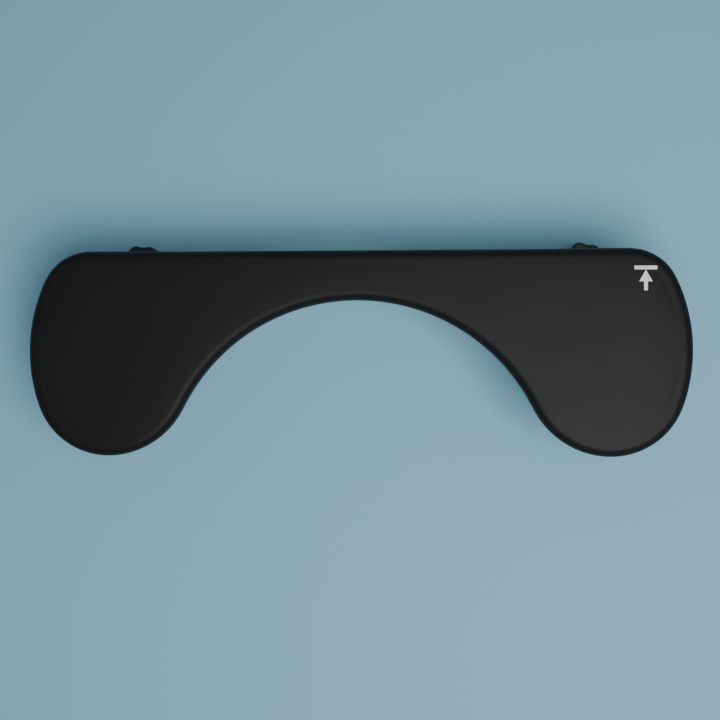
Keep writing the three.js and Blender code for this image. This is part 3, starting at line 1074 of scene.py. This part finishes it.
bpy.ops.mesh.spin(center=(0, BEND, lower_bend_z), **bend)
extrude(y=SHOULDER - BEND)
half_width, at_y = strip_width / 2, SHOULDER
NOSE_STEPS = 12
for step in range(NOSE_STEPS):
    angle = NOSE_LEAN + (NOSE_END - NOSE_LEAN) * step / (NOSE_STEPS - 1)
    next_y, next_half = axis_y + NOSE * math.sin(angle), NOSE * math.cos(angle)
    extrude(y=next_y - at_y)
    centre = (0, next_y, lower_z)
    bpy.ops.transform.resize(value=(next_half / half_width, 1, 1), center_override=centre)
    half_width, at_y = next_half, next_y
face_outwards(bracket)
round_edges(bracket, 0.45 * MM, 3)
cut_out(
    bracket,
    rod(THREAD_HOLE, bracket_low.z - MM, bracket_low.z + STEEL + MM, y=axis_y),
    *[
        cone(HEAD + MM, SHANK, JAW_PAD - MM, JAW_PAD + HEAD - SHANK, x, y)
        for x, y in SCREW_SPOTS
    ],
    *[rod(SHANK + 0.15 * MM, JAW_PAD, bracket_high.z + MM, x, y) for x, y in SCREW_SPOTS],
)
smooth(bracket, 35)
for_both_sides(bracket, "bracket", "board", "powder_coat", coat_finish)

# %% [markdown]
# A rubber pad on the upper flange keeps the desk from scratches. It is a moulded block with grooves
# across it for grip, and a hole under each screw head. The block is sliced by bisect, and every
# second strip of its lower face is pushed in.

# %% Jaw pad
GROOVE = 0.7 * MM  # depth
GROOVE_PITCH = 2.2 * MM
pad_low, pad_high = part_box("right_jaw_pad")
bpy.ops.mesh.primitive_cube_add(
    size=1, location=(0, (pad_low.y + pad_high.y) / 2, (pad_low.z + pad_high.z) / 2)
)
bpy.context.object.scale = (pad_high.x - pad_low.x, pad_high.y - pad_low.y, pad_high.z - pad_low.z)
jaw_pad = new_piece("jaw_pad")
slices = round((pad_high.y - pad_low.y) / GROOVE_PITCH) // 2 * 2 + 1
slice_width = (pad_high.y - pad_low.y) / slices
for number in range(1, slices):
    edit_all(jaw_pad)
    cut_at = (0, pad_low.y + number * slice_width, 0)
    bpy.ops.mesh.bisect(plane_co=cut_at, plane_no=(0, 1, 0))
pick(
    jaw_pad,
    "FACE",
    lambda f: f.normal.z < -UPWARDS and int((middle(f).y - pad_low.y) / slice_width) % 2 == 1,
)
bpy.ops.mesh.inset(thickness=0.5 * MM, depth=-GROOVE, use_individual=True)
click(jaw_pad)
cut_out(jaw_pad, *[rod(HEAD + MM, -MM, JAW_PAD + MM, x, y) for x, y in SCREW_SPOTS])
round_edges(jaw_pad, 0.25 * MM)
smooth(jaw_pad, 40)
for_both_sides(jaw_pad, "jaw_pad", "board", "rubber", rubber_finish)

# %% [markdown]
# Four countersunk screws hold each bracket, so that nothing stands out of the jaw. The screw is a
# turned part with a hexagon socket broached into its head. It is made once and copied eight times.

# %% Flange screws
SOCKET, SOCKET_DEPTH = 1.75 * MM, 1.9 * MM  # its radius goes to the hexagon's corners
HEAD_SUNK, HEAD_RIM = 0.1 * MM, 0.2 * MM
POINT, POINT_SHARE = 0.8 * MM, 0.7  # length of the tapered end, and what is left of its width
screw_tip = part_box("right_flange_screw_1")[1].z
flange_screw = blank("flange_screw", HEAD, JAW_PAD + HEAD_SUNK, 48)
extrude(z=HEAD_RIM)
extrude(z=HEAD - SHANK)
widen(SHANK / HEAD)
extrude(z=screw_tip - POINT - (JAW_PAD + HEAD_SUNK + HEAD_RIM + HEAD - SHANK))
extrude(z=POINT)
widen(POINT_SHARE)
face_outwards(flange_screw)
click(flange_screw)
cut_out(flange_screw, rod(SOCKET, 0, JAW_PAD + SOCKET_DEPTH, sides=6))
round_edges(flange_screw, 0.15 * MM)
smooth(flange_screw, 40)
for side in SIDES:
    for number in range(1, len(SCREW_SPOTS) + 1):
        click(flange_screw)
        bpy.ops.object.duplicate()
        twin = bpy.context.object
        node = f"{side}_flange_screw_{number}"
        node_low, node_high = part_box(node)
        twin.name = twin.data.name = node + "_made"
        twin.location = ((node_low.x + node_high.x) / 2, (node_low.y + node_high.y) / 2, 0)
        mounted(twin, "board", "black_steel", oxide_finish, node)
click(flange_screw)
bpy.ops.object.delete()
for name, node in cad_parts.items():
    if "insert" in name:
        node.data.materials[0] = brass_finish

# %% [markdown]
# The clamp screw turns in a nut under the lower flange. The nut is a hexagon with its corners turned
# off, which is what a hexagon and a chamfered cylinder have in common. Three short welds hold it to
# the flange, each a row of overlapping drops, and the powder coat goes over nut and welds.

# %% Weld nut
nut_low, nut_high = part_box("right_weld_nut")
across_corners = max(nut_high.x - nut_low.x, nut_high.y - nut_low.y) / 2
across_flats = across_corners * math.cos(math.radians(30))
DROP, DROPS = 1.3 * MM, 5  # radius and number of the drops in a weld
THREAD_CLEAR = 4.05 * MM  # radius of a hole the thread passes through
bpy.ops.mesh.primitive_cylinder_add(
    vertices=6,
    radius=across_corners,
    depth=nut_high.z - nut_low.z,
    location=(0, axis_y, (nut_high.z + nut_low.z) / 2),
)
nut = new_piece("nut")
round_bar = rod(across_corners, nut_low.z, nut_high.z, y=axis_y, sides=72)
round_edges(round_bar, 0.5 * MM, 1, 60)
cut_out(nut, round_bar, operation="INTERSECT")
cut_out(nut, rod(THREAD_CLEAR, nut_low.z - MM, nut_high.z + MM, y=axis_y))
round_edges(nut, 0.2 * MM)
beads = []
for weld in range(3):
    outwards = math.radians(30 + 120 * weld)  # the middle of every second flat
    for drop in range(DROPS):
        along = (drop - (DROPS - 1) / 2) * 0.9 * DROP
        out = across_flats + 0.35 * DROP
        bpy.ops.mesh.primitive_uv_sphere_add(
            segments=20,
            ring_count=10,
            radius=DROP * (1 + 0.08 * math.sin(5 * drop + weld)),
            location=(
                out * math.sin(outwards) + along * math.cos(outwards),
                axis_y + out * math.cos(outwards) - along * math.sin(outwards),
                nut_high.z - 0.1 * DROP,
            ),
        )
        beads.append(new_piece("bead"))
welds = join(beads, "welds")
edit_all(welds)
bpy.ops.mesh.bisect(plane_co=(0, 0, nut_high.z), plane_no=(0, 0, 1), clear_outer=True, use_fill=True)
nut = join([nut, welds], "nut")
smooth(nut, 35)
for_both_sides(nut, "weld_nut", "board", "powder_coat", coat_finish)

# %% [markdown]
# The stud has a rolled M8 thread, 1.25 mm to a turn, and a ball on its upper end that sits in the
# foot. One tooth of the thread is drawn as three short edges and wound up along the axis, which is
# how a thread runs on the real stud. The ends are cut off flat. The neck and ball are turned.

# %% Clamp screw
PITCH = 1.25 * MM
CREST, ROOT = 3.95 * MM, 3.35 * MM  # radii of the thread
NECK, BALL = 2.7 * MM, 3.8 * MM  # radii
TAPER = 0.8 * MM
BARE_NECK = 2.2 * MM  # between the foot and the thread
ball_z = screw_high.z - BALL
thread_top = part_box("right_pressure_foot")[0].z - BARE_NECK
turns_up = math.ceil((thread_top - screw_low.z) / PITCH) + 1
bpy.ops.mesh.primitive_plane_add(size=MM, location=(ROOT, 0, screw_low.z - PITCH))
stud = new_piece("stud")
edit_all(stud)
bpy.ops.mesh.merge(type="CENTER")
# Each edge of the tooth goes out by a length and up by a share of the pitch.
for out, up in ((0, 0.25), (CREST - ROOT, 0.3), (0, 0.15), (ROOT - CREST, 0.3)):
    bpy.ops.mesh.extrude_vertices_move(TRANSFORM_OT_translate={"value": (out, 0, up * PITCH)})
winding = {"screw_offset": PITCH, "iterations": turns_up, "steps": 28, "render_steps": 28}
apply_modifier(stud, "SCREW", use_merge_vertices=True, **winding)
edit_all(stud)
bpy.ops.mesh.remove_doubles(threshold=WELD)
for height, upwards in ((screw_low.z, -1), (thread_top, 1)):
    bpy.ops.mesh.select_all(action="SELECT")
    bpy.ops.mesh.bisect(
        plane_co=(0, 0, height), plane_no=(0, 0, upwards), clear_outer=True, use_fill=True
    )
face_outwards(stud)
click(stud)
taper = cone(ROOT, NECK, thread_top, thread_top + TAPER)
neck = rod(NECK, thread_top, ball_z - 2 * MM)
bpy.ops.mesh.primitive_uv_sphere_add(segments=48, ring_count=24, radius=BALL, location=(0, 0, ball_z))
ball = new_piece("ball")
stud = join([stud, taper, neck, ball], "stud")
stud.location.y = axis_y
bpy.ops.object.transform_apply(location=True)
smooth(stud, 40)
for_both_sides(stud, "clamp_screw", "{}_screw", "zinc_steel", zinc_finish)

# %% [markdown]
# The knob is a moulded grip with six round lobes. Its outline is the farther of two curves from the
# axis: the round body, or the lobe in that direction. The face is drawn up to the knob's height and
# both edges are rolled over. A shallow ring on top saves plastic, and a cap closes the hole below.

# %% Lobed knob
LOBES = 6
LOBE, LOBE_CIRCLE, BODY = 8.9 * MM, 13.5 * MM, 19.5 * MM  # radii
KNOB_ROUND = 3 * MM
RING_OUTER, RING_INNER, RING_DEPTH = 14.5 * MM, 9 * MM, 1.5 * MM  # the ring on top
CAP_HOLE, CAP, CAP_SUNK = 9 * MM, 8.8 * MM, 0.9 * MM  # radii, and how far in the cap sits
KNOB_TURNS = {"left": 32.4, "right": 40.9}  # degrees clockwise, seen from above
knob_low, knob_high = (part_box("right_knob")[end].z for end in (0, 1))


def knob_radius(angle):
    """Distance from the axis to the knob's edge; a lobe points along angle zero."""
    pitch = math.tau / LOBES
    off = angle - pitch * round(angle / pitch)
    lobe = LOBE_CIRCLE * math.cos(off) + math.sqrt(LOBE**2 - (LOBE_CIRCLE * math.sin(off)) ** 2)
    return max(lobe, BODY)


bpy.ops.mesh.primitive_circle_add(vertices=180, radius=BODY, fill_type="NGON", location=(0, 0, 0))
knob = new_piece("knob")
for vertex in knob.data.vertices:
    angle = math.atan2(vertex.co.x, vertex.co.y)
    vertex.co.xy = knob_radius(angle) * Vector((math.sin(angle), math.cos(angle)))
apply_modifier(knob, "SMOOTH", iterations=6)
edit_all(knob)
extrude(z=knob_high - knob_low - 2 * KNOB_ROUND)
for upper in (True, False):
    face_outwards(knob)
    pick(knob, "FACE", lambda f: len(f.verts) > FLAT_FACE_CORNERS and (middle(f).z > MM) == upper)
    round_over(KNOB_ROUND, KNOB_ROUND, 6)
    bpy.ops.mesh.inset(thickness=0.4 * MM)
click(knob)
knob.location = (0, axis_y, knob_low + KNOB_ROUND)
bpy.ops.object.transform_apply(location=True)
cap_low = knob_low + CAP_SUNK
ring_outer, ring_inner = (
    rod(radius, knob_high - RING_DEPTH, knob_high + MM, y=axis_y, sides=72)
    for radius in (RING_OUTER, RING_INNER)
)
cut_out(ring_outer, ring_inner)
cut_out(
    knob,
    ring_outer,
    rod(CAP_HOLE, knob_low - MM, cap_low, y=axis_y, sides=72),
    rod(THREAD_CLEAR, screw_low.z - 0.3 * MM, knob_high + MM, y=axis_y),
)
round_edges(knob, 0.3 * MM, 2, 60)
cap = rod(CAP, cap_low - 0.1 * MM, cap_low + 0.5 * MM, y=axis_y, sides=72)
round_edges(cap, 0.25 * MM)
knob = join([knob, cap], "knob")
smooth(knob, 35)
for_both_sides(knob, "knob", "{}_screw", "knob_plastic", knob_finish, turns=KNOB_TURNS)

# %% [markdown]
# The pressure foot is a plate with a hub, and the hub's lip is closed in round the ball, so that the
# foot can tilt a little and stays put while the screw turns. On it sits a rubber disc with rings.

# %% Pressure foot and its pad
foot_low, foot_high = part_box("right_pressure_foot")
disc_low, disc_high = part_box("right_foot_pad")
FOOT = (foot_high.x - foot_low.x) / 2
DISC = (disc_high.x - disc_low.x) / 2
HUB = 7.2 * MM
LIP, LIP_DEPTH, CAVITY = 3.1 * MM, MM, 4 * MM  # the lip's radius and depth, and the hollow's radius
PLATE = 3 * MM
FILLET, FILLET_STEPS = 1.5 * MM, 4  # between plate and hub
foot = blank("foot", FOOT, foot_high.z, 72, axis_y)
extrude(z=-PLATE)
bpy.ops.mesh.inset(thickness=FOOT - HUB - FILLET)
radius, drop = HUB + FILLET, 0.0
for step in range(1, FILLET_STEPS + 1):
    angle = math.radians(90) * step / FILLET_STEPS
    next_radius = HUB + FILLET * (1 - math.sin(angle))
    next_drop = FILLET * (1 - math.cos(angle))
    extrude(z=drop - next_drop)
    widen(next_radius / radius, axis_y)
    radius, drop = next_radius, next_drop
extrude(z=foot_low.z - (foot_high.z - PLATE - FILLET))
bpy.ops.mesh.inset(thickness=HUB - LIP)
extrude(z=LIP_DEPTH)
extrude()
widen(CAVITY / LIP, axis_y)
extrude(z=screw_high.z + 0.1 * MM - foot_low.z - LIP_DEPTH)
face_outwards(foot)
round_edges(foot, 0.4 * MM, 2, 50)
smooth(foot, 40)
for_both_sides(foot, "pressure_foot", "{}_foot", "zinc_steel", zinc_finish)

RIDGE, VALLEY, FLANK = 1.6 * MM, 0.8 * MM, 0.2 * MM  # widths of the rings on the disc
VALLEY_DEPTH = 0.5 * MM
disc = blank("disc", DISC, disc_low.z, 72, axis_y)
extrude(z=disc_high.z - disc_low.z)
bpy.ops.mesh.inset(thickness=RIDGE)
for _ in range(2):
    for width, depth in ((FLANK, -VALLEY_DEPTH), (VALLEY, 0), (FLANK, VALLEY_DEPTH), (RIDGE, 0)):
        bpy.ops.mesh.inset(thickness=width, depth=depth)
face_outwards(disc)
round_edges(disc, 0.3 * MM, 2, 50)
smooth(disc, 40)
for_both_sides(disc, "foot_pad", "{}_foot", "rubber", rubber_finish)

# %% [markdown]
# A small print near the right corner shows which edge goes to the desk: an arrow that points to a
# bar. It is ink, so it has hardly any thickness. The flat sign is cut into small faces and laid on
# the cover from above.

# %% Printed sign
SIGN_X, SIGN_Y = 283 * MM, 19.6 * MM
SIGN_WIDTH, SIGN_HEIGHT, STROKE = 22 * MM, 24 * MM, 3.6 * MM
ARROW, ARROW_GAP = 7.5 * MM, 0.4 * MM  # radius of the arrow's head, and its gap to the bar
INK = 0.06 * MM
over_cover = board_high.z + 5 * MM
bar_low = SIGN_HEIGHT / 2 - STROKE
head_middle = bar_low - ARROW_GAP - ARROW
shaft_high = head_middle - ARROW / 2
shapes = []
for width, low, high in (
    (SIGN_WIDTH, bar_low, SIGN_HEIGHT / 2),
    (STROKE, -SIGN_HEIGHT / 2, shaft_high),
):
    place = (SIGN_X, SIGN_Y + (low + high) / 2, over_cover)
    bpy.ops.mesh.primitive_plane_add(size=1, location=place)
    bpy.context.object.scale = (width, high - low, 1)
    shapes.append(new_piece("stroke"))
bpy.ops.mesh.primitive_circle_add(
    vertices=3,
    radius=ARROW,
    fill_type="NGON",
    location=(SIGN_X, SIGN_Y + head_middle, over_cover),
)
shapes.append(new_piece("head"))
sign = join(shapes, "printed_sign")
edit_all(sign)
bpy.ops.mesh.quads_convert_to_tris()
bpy.ops.mesh.subdivide(number_cuts=11)
downwards = {"use_project_z": True, "use_negative_direction": True, "use_positive_direction": False}
apply_modifier(sign, "SHRINKWRAP", target=cover, wrap_method="PROJECT", offset=INK, **downwards)
apply_modifier(sign, "SOLIDIFY", thickness=0.8 * INK, offset=-1)
smooth(sign)
mounted(sign, "board", None, print_finish)

# %% [markdown]
# The studio: a pale matt floor below the knobs, one large soft lamp high up in front of the right
# lobe, and a dim even sky. The camera looks almost straight down from a little over a metre.

# %% Floor, light and camera
FLOOR_SIZE, FLOOR_Z = 30, -0.106
bpy.ops.mesh.primitive_plane_add(size=FLOOR_SIZE, location=(0, 0, FLOOR_Z))
floor = new_piece("floor")
floor.data.materials.append(floor_finish)

bpy.ops.object.light_add(type="AREA", location=(0.42, -0.46, 1.5))
lamp = bpy.context.object
lamp.data.shape = "SQUARE"
lamp.data.size = 0.9
lamp.data.energy = 26
lamp.rotation_euler = (Vector((0, 0, 0)) - lamp.location).to_track_quat("-Z", "Y").to_euler()

sky = bpy.data.worlds.new("Studio")
scene.world = sky
sky.use_nodes = True
sky.node_tree.nodes["Background"].inputs["Color"].default_value = (0.88, 0.94, 1, 1)
sky.node_tree.nodes["Background"].inputs["Strength"].default_value = 0.3

bpy.ops.object.camera_add(location=(0.0609, -0.0612, 1.1105))
camera = bpy.context.object
lean = Matrix.Rotation(math.radians(3.0), 4, "Y")
nod = Matrix.Rotation(math.radians(0.07), 4, "X")
roll = Matrix.Rotation(math.radians(-0.09), 4, "Z")
camera.rotation_euler = (lean @ nod @ roll).to_euler()
camera.data.lens = 55
scene.camera = camera
